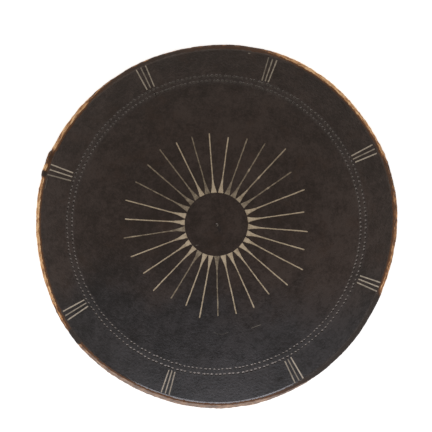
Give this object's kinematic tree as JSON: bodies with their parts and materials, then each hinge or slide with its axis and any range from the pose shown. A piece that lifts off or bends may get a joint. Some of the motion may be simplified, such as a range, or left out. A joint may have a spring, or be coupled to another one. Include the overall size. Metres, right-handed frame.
{
  "type": "wooden round shield",
  "caption": "Round domed wooden shield with a black lacquered face, an inlaid sunburst, bars near its worn edge and a grip carved in one with the hollow back.",
  "frame": {"origin": "centre of the shield's extents, on the plane of the flat underside of its edge", "axes": "+Z out of the middle of the domed face, up as the shield lies; +Y along the grip, towards the top of the face; +X to the right, seen from the face"},
  "size_m": [0.5384, 0.5418, 0.0656],
  "materials": {
    "lacquered_face": "black lacquer, worn satin, thin pale fill in the cut rays and bars, bare wood at the edge and in the hollow back"
  },
  "bodies": {
    "root": {"shield": "lacquered_face"}
  },
  "joints": []
}
